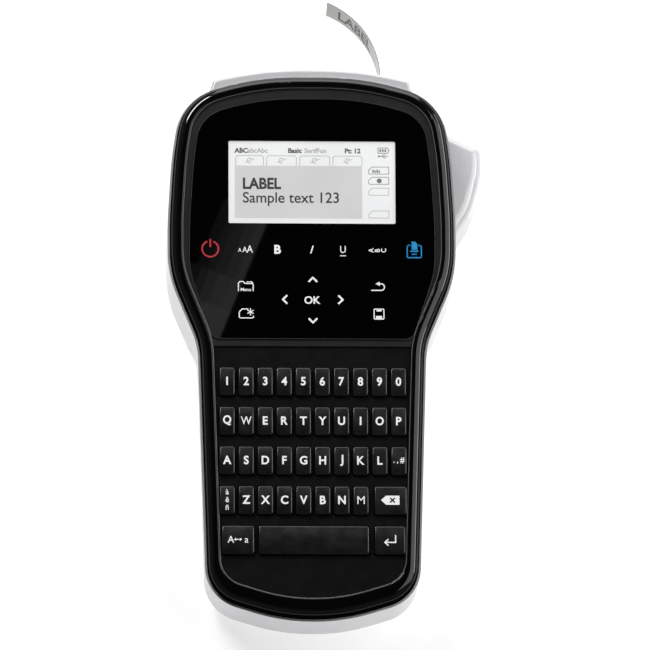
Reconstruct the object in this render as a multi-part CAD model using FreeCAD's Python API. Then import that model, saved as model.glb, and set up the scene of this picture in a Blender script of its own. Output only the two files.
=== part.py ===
"""Handheld electronic label maker: keyboard, display, tape cassette, print mechanism and cutter.

Millimetres. Two frames are used. The face frame has Z out of the keyboard face, Z = 0 on the keypad deck, and
Y = 0 at the foot end. The resting frame is the part's own: the device lies on its back, so the face frame is
tilted about X until the back of the head and the foot ridge are level. X is to the right in both.
"""

import math
import os

from FreeCAD import Vector
import Part

# Resting frame against face frame
TILT = math.radians(6.5)
REST_DEPTH_AT_FOOT = 32.0
ORIGIN_Y = 118.0

# Outline of the face, right half, from head to foot: x, y, corner radius
BEZEL_HALF = [
    (20.2, 206.6, 100.0),
    (47.2, 198.1, 20.0),
    (50.8, 176.8, 150.0),
    (52.2, 152.5, 150.0),
    (52.2, 131.9, 45.0),
    (41.2, 105.2, 30.0),
    (38.2, 10.4, 15.0),
    (11.0, 1.9, 70.0),
]
PANEL_HALF = [
    (18.9, 197.6, 90.0),
    (41.2, 190.7, 13.0),
    (43.6, 173.3, 150.0),
    (45.0, 151.0, 150.0),
    (45.1, 132.0, 38.0),
    (36.7, 106.1, 3.7),
]
TURRET_HALF = [
    (18.0, 210.9, 120.0),
    (36.2, 206.6, 2.0),
    (39.5, 196.0, 0.5),
]
DECK_FOOT_RISE = 2.0

# Levels and lengths in the face frame
PARTING_Z = -4.5
RIM_Z = 1.3
PANEL_TOP_Z = 0.5
KEYPAD_STEP = 0.5
DECK_THICKNESS = 1.6
HANDLE_BACK_Z = -27.0
DECK_UNDERSIDE_Z = -DECK_THICKNESS - KEYPAD_STEP
BOARD_TOP_Z = -6.6
BOARD_THICKNESS = 1.6
BOARD_BOTTOM_Z = BOARD_TOP_Z - BOARD_THICKNESS
CHIPS = [
    ((-14.0, 118.0), (2.0, 134.0), 1.2),
    ((8.0, 120.0), (18.0, 128.0), 1.0),
    ((-30.0, 122.0), (-20.0, 130.0), 1.6),
]

# Side view of the back, from foot to head in the face frame: y and rounding of each crease
FOOT_FLAT_Y = 24.0
FOOT_FLAT_ROUND = 20.0
FOOT_FLARE_Y = 50.0
FOOT_FLARE_ROUND = 40.0
HEAD_FLARE_Y = 90.0
HEAD_FLARE_ROUND = 20.0
HEAD_FLAT_Y = 112.0
HEAD_FLAT_ROUND = 15.0

# Walls and rims
SHELL_PROUD = 0.8
WALL = 2.0
BEZEL_RING = 4.6
BEZEL_SKIRT = 3.2
BACK_FILLET = 9.0
TURRET_TOP_Z = -5.0
TURRET_ROUND = 8.0
TURRET_FRONT_ROUND = 1.4
TURRET_START_Y = 150.0
RIM_OUTER_FILLET = 3.7
RIM_INNER_FILLET = 0.5
TONGUE_DEPTH = 0.6
TONGUE_GAP = 0.15
SCREW_PLACES = [(-31.0, 12.0), (31.0, 12.0), (-43.5, 137.0), (43.5, 128.0)]
BOSS_RADIUS = 3.2
SCREW_HOLE_RADIUS = 1.3

# Keyboard
KEY_PITCH = 6.96
KEY_WIDTH = 5.75
KEY_LENGTH = 10.6
KEY_HEIGHT = 1.5
KEY_CORNER = 0.9
KEY_CROWN_RADIUS = 22.0
KEY_CROWN_DROP = 0.8
KEY_ROUND = 0.6
KEY_GAP = 0.2
FLANGE = 0.3
FLANGE_THICKNESS = 0.5
FLANGE_GAP = 0.15
KEY_TRAVEL = 0.8
DOME_GAP = 0.1
DOME_RADII = (2.7, 2.0)
MAT_THICKNESS = 0.9
ROW_PITCH = 14.87
TOP_ROW_Y = 89.8
KEYPAD_TOP_Y = 103.3
WIDE_KEYS = [
    ("key_backspace", 28.2, 3, 11.9),
    ("key_shift", -27.4, 4, 11.9),
    ("key_space", 0.2, 4, 40.3),
    ("key_return", 27.9, 4, 11.3),
]

# Display
WINDOW_WIDTH = 61.4
WINDOW_HEIGHT = 31.5
WINDOW_Y = 165.7
WINDOW_CORNER = 0.6
DISPLAY_MARGIN = 3.6
DISPLAY_OPENING_MARGIN = 4.0
DISPLAY_THICKNESS = 3.2
DISPLAY_BACK_STEP = 3.0

# Tape drive, in the resting frame
TAPE_X = 27.0
TAPE_THICKNESS = 0.3
TAPE_LOW = 6.5
TAPE_WIDTH = 12.0
TAPE_START_Y = 36.0
CURL_START_Y = 98.5
CURL_RADIUS = 33.0
CURL_TURN = math.radians(66.0)
DRIVE_Y = 50.0
ROLLER_RADIUS = 4.0
SHAFT_RADIUS = 1.5
RUNNING_GAP = 0.05
GEAR_MODULE = 0.5
ROLLER_TEETH = 30
PINION_TEETH = 12
BAY_TOP_Z = 23.5
BAY_FLOOR = 1.5
BAY_LOW = (-40.0, 6.0)
BAY_HIGH = (37.0, 64.0)
BAY_BACK_Z = 1.0
CASSETTE_LOW = (-36.0, 14.0)
CASSETTE_HIGH = (33.5, 62.0)
CASSETTE_NOTCH = ((17.5, 41.0), (40.0, 59.5))
CASSETTE_HUBS = [((-18.0, 37.0), 7.0), ((3.0, 29.0), 3.0)]
CASSETTE_GAP = 0.6

# Gear drive, in the resting frame
ROLLER_GEAR_Z = (25.6, 28.6)
PINION_Z = (25.8, 28.4)
PINION_SHAFT_RADIUS = 0.75
MOTOR_Z = (29.8, 40.0)
MOTOR_RADIUS = 7.5
BRACKET_THICKNESS = 0.8

# Battery and its cover, in the face frame
BATTERY_DOOR_LOW = (-25.0, 52.0)
BATTERY_DOOR_HIGH = (25.0, 89.0)
BATTERY_LOW = (-21.0, 53.0)
BATTERY_HIGH = (21.0, 88.0)
BATTERY_HEIGHT = 13.0
BATTERY_GAP = 0.6

# Thumb grooves of both covers
GROOVE_PITCH = 2.4
GROOVE_WIDTH = 1.2
GROOVE_HALF_LENGTH = 9.0
GROOVE_DEPTH = 0.7

# Cassette door, in the resting frame
DOOR_RECESS = 0.4
DOOR_THICKNESS = 2.0
DOOR_LOW = (-37.0, 10.0)
DOOR_HIGH = (35.0, 62.0)
DOOR_GAP = 0.4
DOOR_CORNER = 5.0
HINGE_RADIUS = 2.0
HINGE_PIN_RADIUS = 1.0
HINGE_PIN_REACH = 2.8
HINGE_BORE_REACH = 3.0
HINGE_Z = DOOR_RECESS + HINGE_RADIUS

# Sockets in the head end, in the resting frame: x, z of each centre
SOCKETS = {"power": (-22.0, 36.0), "data": (-6.0, 36.0)}
SOCKET_HALF = {"power": 4.3, "data": 3.9}
SOCKET_FACE_Y = 86.1

# Cutter, in the resting frame
LEVER_LOW_Z = 18.0
LEVER_HIGH_Z = 40.0
LEVER_PIVOT = (48.5, 29.0)
LEVER_OUTSIDE = [
    (52.8, 25.8, 0.8),
    (59.4, 36.6, 30.0),
    (63.3, 52.0, 30.0),
    (62.9, 61.2, 2.2),
    (50.6, 67.4, 0.8),
    (45.9, 66.6, 0.8),
    (45.7, 26.0, 0.8),
]
LEVER_HOLLOW = [
    (44.0, 35.0, 0.5),
    (55.5, 38.0, 4.0),
    (59.9, 52.0, 4.0),
    (59.6, 59.2, 1.5),
    (50.0, 64.4, 0.8),
    (44.0, 64.4, 0.8),
]
LEVER_WALL = 2.2
LEVER_TOP_ROUND = 4.0
LEVER_BACK_ROUND = 1.6
LEVER_ROUND_FROM_X = 52.9
FINGER_HEIGHT = 6.0
EAR_GAP = 0.6
RAIL_X = (33.0, 40.0)
RAIL_Y = [(68.0, 69.3), (72.7, 74.0)]
CARRIER_Y = (69.5, 72.5)
BLADE_Y = 71.0
BLADE_THICKNESS = 0.6
BLADE_BACK_X = 36.0
BLADE_REST_X = 32.6
BLADE_SLANT = 2.0

# Gap between surfaces that rest on each other, and distances that lie well outside the device
SEAT_GAP = 0.02
PAST_FOOT_Y = -10.0
PAST_HEAD_Y = 230.0
BELOW_Z = -70.0
FAR = 90.0
ALONG_Y = Vector(0, 1, 0)


# ---------------------------------------------------------------- shapes

def rounded_wire(corners, z=0.0):
    """Closed wire of straight lines through the corners, each rounded to its radius, or sharp if it is 0."""
    count = len(corners)
    entries = []
    exits = []
    middles = []
    for i, (x, y, radius) in enumerate(corners):
        here = Vector(x, y, z)
        to_before = (Vector(*corners[i - 1][:2], z) - here).normalize()
        to_after = (Vector(*corners[(i + 1) % count][:2], z) - here).normalize()
        half = to_before.getAngle(to_after) / 2
        reach = radius / math.tan(half)
        entries.append(here + to_before * reach)
        exits.append(here + to_after * reach)
        middles.append(here + (to_before + to_after).normalize() * (radius / math.sin(half) - radius))
    edges = []
    for i in range(count):
        if corners[i][2]:
            edges.append(Part.Arc(entries[i], middles[i], exits[i]).toShape())
        following = entries[(i + 1) % count]
        if (following - exits[i]).Length > 1e-6:
            edges.append(Part.LineSegment(exits[i], following).toShape())
    return Part.Wire(edges)


def both_halves(half):
    """A right-half outline and its mirror image, as one closed list of corners."""
    return half + [(-x, y, radius) for x, y, radius in reversed(half)]


def outline(growth, foot_rise=0.0):
    """The face outline, grown or shrunk by an even amount, with its foot end moved up."""
    corners = BEZEL_HALF[:-2] + [(x, y + foot_rise, radius) for x, y, radius in BEZEL_HALF[-2:]]
    wire = rounded_wire(both_halves(corners))
    return wire.makeOffset2D(growth) if growth else wire


def slab(wire, low, high):
    """Solid of a flat wire between two heights."""
    solid = Part.Face(wire).extrude(Vector(0, 0, high - low))
    solid.translate(Vector(0, 0, low))
    return solid


def box(low, high):
    """Box between two corners."""
    size = [b - a for a, b in zip(low, high)]
    return Part.makeBox(*size, Vector(*low))


def rounded_box(low, high, radius, axis=Vector(0, 0, 1)):
    """Box whose edges along one axis are rounded."""
    solid = box(low, high)
    edges = [e for e in solid.Edges if abs(e.tangentAt(e.FirstParameter).dot(axis)) > 0.99]
    return solid.makeFillet(radius, edges)


def centred_box(centre, size, low, high, corner):
    """Upright block round an (x, y) centre between two heights, with rounded upright edges."""
    (x, y), (width, length) = centre, size
    return rounded_box((x - width / 2, y - length / 2, low), (x + width / 2, y + length / 2, high), corner)


def rod(centre, low, high, radius):
    """Upright cylinder at an (x, y) place between two heights."""
    return Part.makeCylinder(radius, high - low, Vector(centre[0], centre[1], low))


def rod_along_x(low_x, high_x, y, z, radius):
    """Cylinder along X."""
    return Part.makeCylinder(radius, high_x - low_x, Vector(low_x, y, z), Vector(1, 0, 0))


def side_profile(corners):
    """Solid of a closed side view, its corners given as (y, z, radius), stretched right across the width."""
    face = Part.Face(rounded_wire(corners))
    face.rotate(Vector(0, 0, 0), Vector(1, 1, 1), 120)
    face.translate(Vector(-FAR, 0, 0))
    return face.extrude(Vector(2 * FAR, 0, 0))


def edges_at_height(solid, height):
    """Edges that lie flat at one height."""
    tolerance = 1e-4
    flat = [e for e in solid.Edges if e.BoundBox.ZLength < tolerance]
    return [e for e in flat if abs(e.BoundBox.ZMin - height) < tolerance]


def to_rest(shape):
    """Move a shape from the face frame to the resting frame."""
    moved = shape.copy()
    moved.translate(Vector(0, -ORIGIN_Y, REST_DEPTH_AT_FOOT + ORIGIN_Y * math.tan(TILT)))
    moved.rotate(Vector(0, 0, 0), Vector(1, 0, 0), math.degrees(TILT))
    return moved


def rest_depth(y):
    """Depth of the resting plane below the keypad deck, at a face-frame y."""
    return -(REST_DEPTH_AT_FOOT + y * math.tan(TILT))


# ---------------------------------------------------------------- housing, in the face frame

def body_block(inset):
    """The closed form of the rear housing, set in from its outer surface by an even amount."""
    back = [
        (PAST_FOOT_Y, rest_depth(PAST_FOOT_Y) + inset, 0),
        (FOOT_FLAT_Y, rest_depth(FOOT_FLAT_Y) + inset, FOOT_FLAT_ROUND),
        (FOOT_FLARE_Y, HANDLE_BACK_Z + inset, FOOT_FLARE_ROUND),
        (HEAD_FLARE_Y, HANDLE_BACK_Z + inset, HEAD_FLARE_ROUND),
        (HEAD_FLAT_Y, rest_depth(HEAD_FLAT_Y) + inset, HEAD_FLAT_ROUND),
        (PAST_HEAD_Y, rest_depth(PAST_HEAD_Y) + inset, 0),
        (PAST_HEAD_Y, PARTING_Z, 0),
        (PAST_FOOT_Y, PARTING_Z, 0),
    ]
    walls = slab(outline(SHELL_PROUD - inset), BELOW_Z, PARTING_Z)
    block = walls.common(side_profile(back)).removeSplitter()
    back_edges = [e for e in block.Edges if e.BoundBox.ZMax < HANDLE_BACK_Z + BACK_FILLET - WALL]
    rim = [e for e in back_edges if not runs_across(e)]
    return block.makeFillet(BACK_FILLET - inset, rim)


def runs_across(edge):
    """Whether an edge is a straight crease from side to side."""
    return edge.BoundBox.YLength < 0.01 and edge.BoundBox.XLength > KEY_PITCH


def turret_block(inset):
    """The raised end of the head, around the tape exit, with its back corner rounded off."""
    wire = rounded_wire(both_halves(TURRET_HALF))
    if inset:
        wire = wire.makeOffset2D(-inset)
    top = TURRET_TOP_Z - inset
    block = slab(wire, BELOW_Z, top)
    start = TURRET_START_Y
    end = TURRET_HALF[0][1] - inset
    back = [
        (start, rest_depth(start) + inset, 0),
        (end, rest_depth(end) + inset, TURRET_ROUND - inset),
        (end, 0.0, 0),
        (start, 0.0, 0),
    ]
    block = block.common(side_profile(back))
    front_edges = [e for e in edges_at_height(block, top) if e.BoundBox.YMax > TURRET_HALF[2][1]]
    return block.makeFillet(TURRET_FRONT_ROUND, front_edges)


# ---------------------------------------------------------------- housing details, in the resting frame

def cassette_bay():
    """Walls and floor of the bay that takes the tape cassette."""
    low = (BAY_LOW[0] - BAY_FLOOR, BAY_LOW[1] - BAY_FLOOR, BAY_BACK_Z)
    high = (BAY_HIGH[0] + BAY_FLOOR, BAY_HIGH[1] + BAY_FLOOR, BAY_TOP_Z + BAY_FLOOR)
    return rounded_box(low, high, 4.0)


def bay_space():
    """The open space inside the bay, out through the back."""
    return rounded_box((*BAY_LOW, DOOR_THICKNESS + DOOR_RECESS), (*BAY_HIGH, BAY_TOP_Z), 3.0)


def door_opening():
    """Hole in the back that the cassette door closes, with its hinge groove."""
    low = (DOOR_LOW[0] - DOOR_GAP, DOOR_LOW[1], -1.0)
    high = (DOOR_HIGH[0] + DOOR_GAP, DOOR_HIGH[1] + DOOR_GAP, DOOR_THICKNESS + DOOR_RECESS + 0.6)
    reach = HINGE_RADIUS + DOOR_GAP
    groove = rod_along_x(low[0], high[0], DOOR_LOW[1], HINGE_Z, reach)
    mouth = box((low[0], DOOR_LOW[1] - reach, -1.0), (high[0], DOOR_LOW[1], HINGE_Z))
    return door_block(low, high, DOOR_CORNER + DOOR_GAP).fuse([groove, mouth])


def door_block(low, high, corner):
    """Box whose two upright edges toward the head are rounded."""
    block = box(low, high)
    far = [e for e in block.Edges if e.BoundBox.YMin > high[1] - 0.1 and e.BoundBox.ZLength > 1]
    return block.makeFillet(corner, far)


def tape_slot():
    """Exit slot through the head end."""
    return tape_passage(60.0, 100.0, 0.8, 1.0)


def tape_passage(low_y, high_y, side_gap, edge_gap):
    """Room for the tape over a length, with a gap beside it and one above and below it."""
    low = (TAPE_X - side_gap, low_y, TAPE_LOW - edge_gap)
    return box(low, (TAPE_X + side_gap, high_y, TAPE_LOW + TAPE_WIDTH + edge_gap))


def lever_opening():
    """Opening in the side wall for the cutter lever."""
    return box((45.5, LEVER_PIVOT[1] - 4.0, LEVER_LOW_Z - 0.5), (75.0, 68.6, LEVER_HIGH_Z + 0.5))


def lever_ears():
    """Two bearing ears on the side wall for the lever's trunnions."""
    x, y = LEVER_PIVOT
    ears = []
    spans = [(LEVER_LOW_Z - 3.5, LEVER_LOW_Z - EAR_GAP), (LEVER_HIGH_Z + EAR_GAP, LEVER_HIGH_Z + 3.2)]
    for low, high in spans:
        ear = rounded_box((x - 3.0, y - 3.0, low), (x + 3.4, y + 3.0, high), 1.0)
        ears.append(ear.cut(rod((x, y), low - 1, high + 1, SHAFT_RADIUS + RUNNING_GAP)))
    return ears


def blade_rails():
    """Guide rails either side of the blade carrier, with the anvil beyond the tape."""
    rails = [box((RAIL_X[0], low, BAY_BACK_Z), (RAIL_X[1], high, 8.0)) for low, high in RAIL_Y]
    anvil = box((TAPE_X - 3.5, RAIL_Y[0][0], BAY_BACK_Z), (TAPE_X - 0.6, RAIL_Y[1][1], 20.0))
    return rails + [anvil]


def rear_housing():
    """Silver rear shell with cassette bay, battery opening, lever opening and tape exit."""
    outer = body_block(0.0).fuse(turret_block(0.0))
    inner = body_block(WALL).fuse(turret_block(WALL))
    shell = outer.cut(inner)
    shell = shell.cut(slab(outline(SHELL_PROUD - WALL), PARTING_Z - TONGUE_DEPTH, PARTING_Z + WALL))
    bosses = []
    for place in SCREW_PLACES:
        post = rod(place, BELOW_Z, BOARD_BOTTOM_Z - 0.3, BOSS_RADIUS).common(body_block(0.0))
        bosses.append(post.cut(rod(place, BELOW_Z, PARTING_Z, SCREW_HOLE_RADIUS)))
    shell = shell.fuse(bosses)
    shell = shell.cut(battery_opening())
    shell = to_rest(shell)
    shell = shell.fuse(cassette_bay())
    shell = shell.cut([bay_space(), door_opening(), tape_slot(), lever_opening()])
    shell = shell.fuse(lever_ears() + blade_rails())
    shell = shell.cut(roller_bearing_hole())
    for name, (x, z) in SOCKETS.items():
        half = SOCKET_HALF[name] + 0.3
        low = (x - half, SOCKET_FACE_Y - 6.0, z - half)
        shell = shell.cut(rounded_box(low, (x + half, SOCKET_FACE_Y + 14.0, z + half), 1.0, ALONG_Y))
    bore = HINGE_PIN_RADIUS + RUNNING_GAP
    for low in (DOOR_LOW[0] - HINGE_BORE_REACH, DOOR_HIGH[0]):
        shell = shell.cut(rod_along_x(low, low + HINGE_BORE_REACH, DOOR_LOW[1], HINGE_Z, bore))
    return shell


def battery_opening():
    """Hole in the back of the handle that the battery door closes, in the face frame."""
    low = [c - DOOR_GAP for c in BATTERY_DOOR_LOW]
    high = [c + DOOR_GAP for c in BATTERY_DOOR_HIGH]
    return rounded_box((*low, HANDLE_BACK_Z - 1), (*high, HANDLE_BACK_Z + WALL + 0.5), 4.4)


def roller_bearing_hole():
    """Bearing hole for the platen roller's shaft in the bay floor."""
    return rod(roller_place(), BAY_TOP_Z - 1, BAY_TOP_Z + BAY_FLOOR + 1, SHAFT_RADIUS + RUNNING_GAP)


# ---------------------------------------------------------------- front, in the face frame

def front_bezel():
    """Gloss black rim with a crowned section, and a tongue inside the rear housing."""
    ring = slab(outline(0), PARTING_Z, RIM_Z)
    ring = ring.makeFillet(RIM_OUTER_FILLET, edges_at_height(ring, RIM_Z))
    opening = outline(-BEZEL_RING, DECK_FOOT_RISE)
    ring = ring.cut(slab(opening, PARTING_Z - 5, RIM_Z + 1))
    skirt = slab(outline(-BEZEL_SKIRT, DECK_FOOT_RISE), PARTING_Z - 5, DECK_UNDERSIDE_Z)
    ring = ring.cut(skirt)
    inner_top = [e for e in edges_at_height(ring, RIM_Z) if lies_over(e, opening)]
    ring = ring.makeFillet(RIM_INNER_FILLET, inner_top)
    tongue = slab(outline(SHELL_PROUD - WALL - TONGUE_GAP), PARTING_Z - TONGUE_DEPTH, PARTING_Z + 0.5)
    tongue = tongue.cut(skirt)
    return to_rest(ring.fuse(tongue))


def lies_over(edge, wire):
    """Whether an edge's middle lies over a wire, seen from above."""
    middle = edge.valueAt((edge.FirstParameter + edge.LastParameter) / 2)
    point = Part.Vertex(middle.x, middle.y, 0)
    return wire.distToShape(point)[0] < 0.02


def keys():
    """Name, centre x, row and width of every key."""
    columns = [(i - 4.5) * KEY_PITCH for i in range(10)]
    rows = ["1234567890", "qwertyuiop", "asdfghjkl"]
    found = []
    for row, letters in enumerate(rows):
        found += [(f"key_{letter}", x, row, KEY_WIDTH) for letter, x in zip(letters, columns)]
    found.append(("key_symbols", columns[9], 2, KEY_WIDTH))
    bottom = ["accent", "z", "x", "c", "v", "b", "n", "m"]
    found += [(f"key_{name}", x, 3, KEY_WIDTH) for name, x in zip(bottom, columns)]
    return found + WIDE_KEYS


def row_y(row):
    """Centre of a row of keys, counted from the top row."""
    return TOP_ROW_Y - row * ROW_PITCH


def key_box(x, row, width, margin, low, high):
    """Upright block on a key's place, wider than the key by a margin on each side."""
    return centred_box((x, row_y(row)), (width + 2 * margin, KEY_LENGTH + 2 * margin), low, high, KEY_CORNER)


def window_block(margin, low, high, corner):
    """Upright block on the display window's place, wider by a margin on each side."""
    size = (WINDOW_WIDTH + 2 * margin, WINDOW_HEIGHT + 2 * margin)
    return centred_box((0.0, WINDOW_Y), size, low, high, corner)


def keypad_frame():
    """Deck inside the rim: surround, recess for the keypad, display window and key openings."""
    deck = slab(outline(-BEZEL_RING - 0.05, DECK_FOOT_RISE), DECK_UNDERSIDE_Z, 0)
    recess = slab(outline(-BEZEL_RING - 0.7, DECK_FOOT_RISE), -KEYPAD_STEP, 1)
    deck = deck.cut(recess.common(box((-FAR, PAST_FOOT_Y, -1), (FAR, KEYPAD_TOP_Y, 1))))
    window = window_block(DISPLAY_OPENING_MARGIN, -5, 5, 1.0)
    openings = [key_box(x, row, width, KEY_GAP, -5, 5) for _, x, row, width in keys()]
    return to_rest(deck.cut([window] + openings))


def display_panel():
    """Gloss overlay with the function icons and the display window."""
    panel = slab(rounded_wire(both_halves(PANEL_HALF)), SEAT_GAP, PANEL_TOP_Z)
    return to_rest(panel.cut(window_block(0.0, -5, 5, WINDOW_CORNER)))


def lcd_module():
    """Display module that stands on the main board behind the panel."""
    glass = window_block(DISPLAY_MARGIN, -DISPLAY_THICKNESS, 0.0, 0.8)
    back = window_block(DISPLAY_MARGIN - DISPLAY_BACK_STEP, BOARD_TOP_Z + SEAT_GAP, -DISPLAY_THICKNESS, 0.8)
    return to_rest(glass.fuse(back))


def one_key(x, row, width):
    """Key cap crowned along its length, with soft top edges and a retaining flange under the deck."""
    flange_top = DECK_UNDERSIDE_Z - FLANGE_GAP
    cap = key_box(x, row, width, 0.0, flange_top - FLANGE_THICKNESS / 2, KEY_HEIGHT + 1.0)
    crown_axis_z = KEY_HEIGHT - KEY_CROWN_RADIUS
    crown = rod_along_x(x - width, x + width, row_y(row), crown_axis_z, KEY_CROWN_RADIUS)
    cap = cap.common(crown)
    rim = [edge for edge in cap.Edges if edge.BoundBox.ZMin > KEY_HEIGHT - KEY_CROWN_DROP]
    cap = cap.makeFillet(KEY_ROUND, rim)
    flange = key_box(x, row, width, FLANGE, flange_top - FLANGE_THICKNESS, flange_top)
    return to_rest(cap.fuse(flange))


def keypad_mat():
    """Silicone sheet on the board with one rubber dome under each key."""
    base = BOARD_TOP_Z + SEAT_GAP
    top = DECK_UNDERSIDE_Z - FLANGE_GAP - FLANGE_THICKNESS - KEY_TRAVEL - DOME_GAP
    sheet = slab(outline(-6.8, 3.0), base, BOARD_TOP_Z + MAT_THICKNESS)
    sheet = sheet.common(box((-FAR, PAST_FOOT_Y, BELOW_Z), (FAR, KEYPAD_TOP_Y, 0)))
    foot = BOARD_TOP_Z + MAT_THICKNESS / 2
    domes = [
        Part.makeCone(*DOME_RADII, top - foot, Vector(x, row_y(row), foot))
        for _, x, row, _ in keys()
    ]
    return to_rest(sheet.fuse(domes))


def main_board():
    """Circuit board with its chips and the two sockets in the head end."""
    board = slab(outline(-9.5, 3.0), BOARD_BOTTOM_Z, BOARD_TOP_Z)
    chips = [box((*low, BOARD_BOTTOM_Z - height), (*high, BOARD_BOTTOM_Z)) for low, high, height in CHIPS]
    board = to_rest(board.fuse(chips))
    for name, (x, z) in SOCKETS.items():
        half = SOCKET_HALF[name]
        body = box((x - half, 70.0, z - half), (x + half, SOCKET_FACE_Y, z + half))
        if name == "power":
            socket = Part.makeCylinder(2.8, 12.0, Vector(x, SOCKET_FACE_Y - 9.0, z), ALONG_Y)
            centre_pin = Part.makeCylinder(1.0, 8.0, Vector(x, SOCKET_FACE_Y - 9.1, z), ALONG_Y)
            body = body.cut(socket).fuse(centre_pin)
        else:
            mouth = ((x - 3.4, SOCKET_FACE_Y - 7.0, z - 1.3), (x + 3.4, SOCKET_FACE_Y + 5.0, z + 1.3))
            blade = box((x - 2.4, SOCKET_FACE_Y - 7.1, z - 0.3), (x + 2.4, SOCKET_FACE_Y - 1.0, z + 0.3))
            body = body.cut(rounded_box(*mouth, 0.6, ALONG_Y)).fuse(blade)
        stem = box((x - 3.0, 66.0, z), (x + 3.0, 71.0, 46.2))
        board = board.fuse([body, stem])
    return board


# ---------------------------------------------------------------- batteries

def battery_door():
    """Cover in the back of the handle, with thumb grooves."""
    low = (*BATTERY_DOOR_LOW, HANDLE_BACK_Z + 0.1)
    cover = rounded_box(low, (*BATTERY_DOOR_HIGH, HANDLE_BACK_Z + WALL), 4.0)
    return to_rest(cover.cut(thumb_grooves(BATTERY_DOOR_HIGH[1] - 5.0, HANDLE_BACK_Z + GROOVE_DEPTH)))


def thumb_grooves(last_y, floor_z):
    """Four short grooves across a cover, the last one at a given y, cut up to a given height."""
    grooves = []
    for step in range(4):
        y = last_y - GROOVE_PITCH * step
        low = (-GROOVE_HALF_LENGTH, y - GROOVE_WIDTH, floor_z - 5.0)
        grooves.append(box(low, (GROOVE_HALF_LENGTH, y, floor_z)))
    return grooves


def battery_pack():
    """Rechargeable pack in the handle."""
    low = HANDLE_BACK_Z + WALL + BATTERY_GAP
    pack = rounded_box((*BATTERY_LOW, low), (*BATTERY_HIGH, low + BATTERY_HEIGHT), 5.0, ALONG_Y)
    contacts = box((-9.0, BATTERY_LOW[1] - 1.8, low + 4.0), (9.0, BATTERY_LOW[1], low + 9.0))
    return to_rest(pack.fuse(contacts))


# ---------------------------------------------------------------- tape cassette and door

def cassette_door():
    """Cover over the tape cassette, on two hinge pins at its foot-side edge."""
    cover_high = (*DOOR_HIGH, DOOR_RECESS + DOOR_THICKNESS)
    cover = door_block((*DOOR_LOW, DOOR_RECESS), cover_high, DOOR_CORNER)
    knuckle = rod_along_x(DOOR_LOW[0], DOOR_HIGH[0], DOOR_LOW[1], HINGE_Z, HINGE_RADIUS)
    pin_ends = (DOOR_LOW[0] - HINGE_PIN_REACH, DOOR_HIGH[0] + HINGE_PIN_REACH)
    pin = rod_along_x(*pin_ends, DOOR_LOW[1], HINGE_Z, HINGE_PIN_RADIUS)
    return cover.fuse([knuckle, pin]).cut(thumb_grooves(DOOR_HIGH[1] - 4.0, DOOR_RECESS + GROOVE_DEPTH))


def tape_cassette():
    """Tape cassette with a notch for the print head and roller."""
    back = DOOR_RECESS + DOOR_THICKNESS + 1.0
    case = rounded_box((*CASSETTE_LOW, back), (*CASSETTE_HIGH, BAY_TOP_Z - CASSETTE_GAP), 3.0)
    notch_low, notch_high = CASSETTE_NOTCH
    notch = rounded_box((*notch_low, 0.0), (*notch_high, 2 * BAY_TOP_Z), 1.5)
    mouth = tape_passage(notch_high[1] - 0.5, 70.0, 0.6, 0.4)
    inner_mouth = tape_passage(TAPE_START_Y - 1.0, notch_low[1] + 1.0, 0.6, 0.4)
    hubs = [rod(place, 0, back + 2.0, radius) for place, radius in CASSETTE_HUBS]
    return case.cut([notch, mouth, inner_mouth] + hubs)


def label_tape():
    """Printed tape from the cassette's mouth, through the slot, and on in a free curl."""
    inner = curl_points(CURL_RADIUS - TAPE_THICKNESS / 2)
    outer = curl_points(CURL_RADIUS + TAPE_THICKNESS / 2)
    inner_start = Vector(inner[0].x, TAPE_START_Y, TAPE_LOW)
    outer_start = Vector(outer[0].x, TAPE_START_Y, TAPE_LOW)
    edges = [
        Part.LineSegment(inner_start, inner[0]),
        Part.Arc(*inner),
        Part.LineSegment(inner[2], outer[2]),
        Part.Arc(*reversed(outer)),
        Part.LineSegment(outer[0], outer_start),
        Part.LineSegment(outer_start, inner_start),
    ]
    wire = Part.Wire([edge.toShape() for edge in edges])
    return Part.Face(wire).extrude(Vector(0, 0, TAPE_WIDTH))


def curl_points(radius):
    """First, middle and last point of the free curl at a radius."""
    centre = Vector(TAPE_X - CURL_RADIUS, CURL_START_Y, TAPE_LOW)
    return [centre + Vector(math.cos(a), math.sin(a), 0) * radius for a in (0, CURL_TURN / 2, CURL_TURN)]


# ---------------------------------------------------------------- print mechanism

def roller_place():
    """Axis of the platen roller, just beyond the tape."""
    return (TAPE_X + TAPE_THICKNESS / 2 + 0.1 + ROLLER_RADIUS, DRIVE_Y)


def pinion_place():
    """Axis of the motor pinion, in mesh with the roller's gear."""
    x, y = roller_place()
    return (x - GEAR_MODULE * (ROLLER_TEETH + PINION_TEETH) / 2 - 0.15, y)


def gear(place, teeth, low, high, phase):
    """Spur gear with straight-flanked teeth."""
    pitch = GEAR_MODULE * teeth / 2
    root = pitch - 1.2 * GEAR_MODULE
    tip = pitch + 0.9 * GEAR_MODULE
    step = 2 * math.pi / teeth
    points = []
    for tooth in range(teeth):
        middle = phase + tooth * step
        for radius, offset in ((root, -0.36), (tip, -0.13), (tip, 0.13), (root, 0.36)):
            angle = middle + offset * step
            around = Vector(math.cos(angle), math.sin(angle), 0) * radius
            points.append(Vector(*place, low) + around)
    return Part.Face(Part.makePolygon(points + points[:1])).extrude(Vector(0, 0, high - low))


def platen_roller():
    """Rubber feed roller, its shaft and its drive gear."""
    place = roller_place()
    roller = rod(place, 4.5, BAY_TOP_Z - 1.0, ROLLER_RADIUS)
    shaft = rod(place, 3.5, 29.5, SHAFT_RADIUS)
    return roller.fuse([shaft, gear(place, ROLLER_TEETH, *ROLLER_GEAR_Z, math.pi)])


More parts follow.
